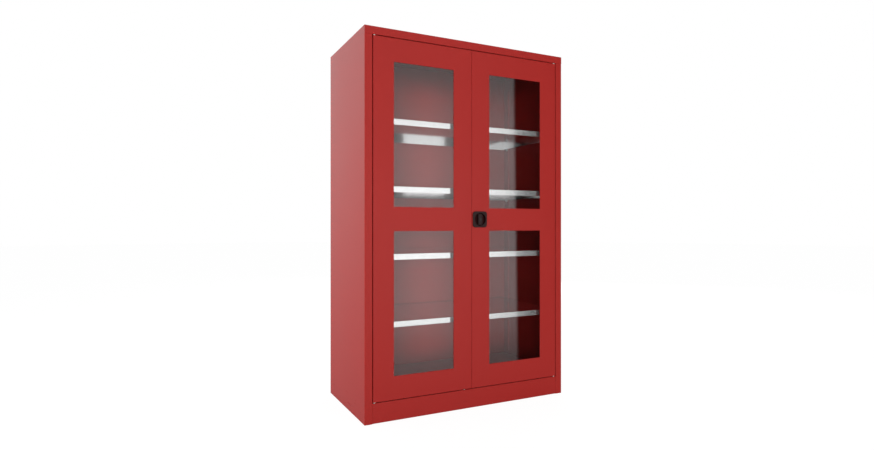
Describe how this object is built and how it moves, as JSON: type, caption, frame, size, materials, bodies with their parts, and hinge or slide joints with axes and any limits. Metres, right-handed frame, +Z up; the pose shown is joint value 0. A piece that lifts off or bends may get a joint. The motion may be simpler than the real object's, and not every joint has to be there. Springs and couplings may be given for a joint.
{
  "type": "double-door cabinet",
  "caption": "Tall red steel storage cabinet with hinged window doors, zinc shelves on clips, and a turning handle that drives a rod lock.",
  "frame": {"origin": "on the ground, at the middle of the footprint including the handle", "axes": "+X to the right seen from the front, +Y into the cabinet from its doors to its back, +Z up"},
  "size_m": [1.2, 0.612, 1.95],
  "materials": {
    "red_paint": "satin powder coat",
    "shelf_zinc": "bright galvanised",
    "zinc_steel": "zinc plated",
    "clear_pane": "clear polished acrylic",
    "black_plastic": "fine moulded grain",
    "nylon": "natural nylon",
    "rubber": "matt"
  },
  "bodies": {
    "carcass": {"left_side_panel": "red_paint", "right_side_panel": "red_paint", "roof_panel": "red_paint", "plinth": "red_paint", "floor_panel": "red_paint", "back_panel": "red_paint", "left_front_upright": "red_paint", "left_rear_upright": "red_paint", "right_front_upright": "red_paint", "right_rear_upright": "red_paint", "bottom_shelf": "shelf_zinc", "lower_shelf": "shelf_zinc", "upper_shelf": "shelf_zinc", "top_shelf": "shelf_zinc", "shelf_clips": "zinc_steel", "pivot_pins": "zinc_steel", "door_buffers": "rubber"},
    "left_door": {"left_door_bushes": "nylon", "left_door_frame_studs": "zinc_steel", "left_door_lower_frame": "red_paint", "left_door_lower_pane": "clear_pane", "left_door_panel": "red_paint", "left_door_upper_frame": "red_paint", "left_door_upper_pane": "clear_pane", "foot_bolt_bracket": "zinc_steel"},
    "right_door": {"right_door_bushes": "nylon", "right_door_frame_studs": "zinc_steel", "right_door_lower_frame": "red_paint", "right_door_lower_pane": "clear_pane", "right_door_panel": "red_paint", "right_door_upper_frame": "red_paint", "right_door_upper_pane": "clear_pane", "handle_escutcheon": "black_plastic", "lock_case": "zinc_steel", "lock_cover": "zinc_steel", "lock_screws": "zinc_steel", "rod_guides": "nylon"},
    "grip": {"handle_grip": "black_plastic", "handle_spindle": "zinc_steel", "lock_pinion": "zinc_steel", "lock_tongue": "zinc_steel", "tongue_screw": "zinc_steel"},
    "key_cylinder": {"key_plug": "zinc_steel"},
    "upper_rod": {"upper_locking_rod": "zinc_steel"},
    "lower_rod": {"lower_locking_rod": "zinc_steel"},
    "foot_bolt": {"foot_bolt_rod": "zinc_steel", "foot_bolt_knob": "black_plastic"}
  },
  "joints": [
    {"name": "left_door_hinge", "type": "hinge", "parent": "carcass", "child": "left_door", "pos_m": [-0.548, -0.287, 1.005], "axis": [0, 0, -1], "range_deg": [0, 110]},
    {"name": "right_door_hinge", "type": "hinge", "parent": "carcass", "child": "right_door", "pos_m": [0.548, -0.287, 1.005], "axis": [0, 0, 1], "range_deg": [0, 110]},
    {"name": "grip_turn", "type": "hinge", "parent": "right_door", "child": "grip", "pos_m": [0.0485, -0.287, 1.005], "axis": [0, -1, 0], "range_deg": [0, 90]},
    {"name": "key_turn", "type": "hinge", "parent": "grip", "child": "key_cylinder", "pos_m": [0.0485, -0.3, 1.005], "axis": [0, -1, 0], "range_deg": [0, 90]},
    {"name": "upper_rod_slide", "type": "slide", "parent": "right_door", "child": "upper_rod", "axis": [0, 0, 1], "range_m": [0, 0.01885]},
    {"name": "lower_rod_slide", "type": "slide", "parent": "right_door", "child": "lower_rod", "axis": [0, 0, -1], "range_m": [0, 0.01885]},
    {"name": "foot_bolt_slide", "type": "slide", "parent": "left_door", "child": "foot_bolt", "axis": [0, 0, -1], "range_m": [0, 0.014]}
  ],
  "couplings": [
    {"joint": "grip_turn", "follows": "upper_rod_slide", "rad_per_m": 83.333},
    {"joint": "lower_rod_slide", "follows": "upper_rod_slide", "ratio": 1}
  ]
}
